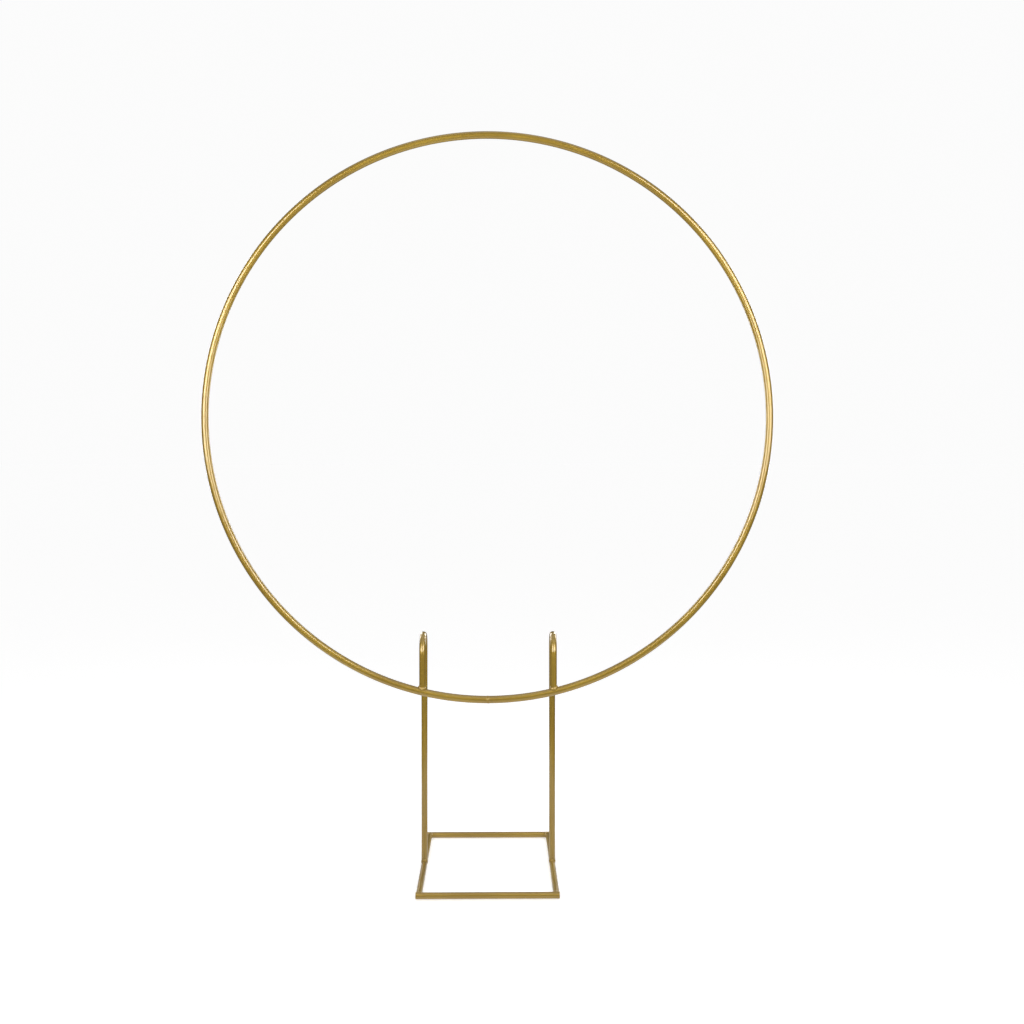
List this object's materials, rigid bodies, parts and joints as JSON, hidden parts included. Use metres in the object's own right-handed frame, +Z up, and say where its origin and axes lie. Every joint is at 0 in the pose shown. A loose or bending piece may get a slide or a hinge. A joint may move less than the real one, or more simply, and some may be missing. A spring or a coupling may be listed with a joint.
{
  "type": "wreath frame",
  "caption": "Round rod hoop standing upright on a small rectangular rod base with two cane-shaped uprights; flowers are wired to the hoop for a table centrepiece.",
  "frame": {"origin": "on the table, under the middle of the base", "axes": "+Z up; -Y is the front, the side that the hoop stands on; +X to the right seen from the front"},
  "size_m": [0.457, 0.152, 0.5969],
  "materials": {
    "hoop_gold": "satin pale gold coating on rolled steel rod",
    "stand_gold": "satin pale gold coating on bent and straight steel rod",
    "weld_gold": "the same gold coating over rippled weld beads"
  },
  "bodies": {
    "root": {"hoop": "hoop_gold", "hoop_seam_weld": "weld_gold", "left_upright": "stand_gold", "right_upright": "stand_gold", "front_bar": "stand_gold", "back_bar": "stand_gold", "left_side_bar": "stand_gold", "right_side_bar": "stand_gold", "left_neck_weld": "weld_gold", "right_neck_weld": "weld_gold", "left_foot_weld": "weld_gold", "right_foot_weld": "weld_gold", "front_left_corner_weld": "weld_gold", "front_right_corner_weld": "weld_gold", "back_left_corner_weld": "weld_gold", "back_right_corner_weld": "weld_gold"}
  },
  "joints": []
}
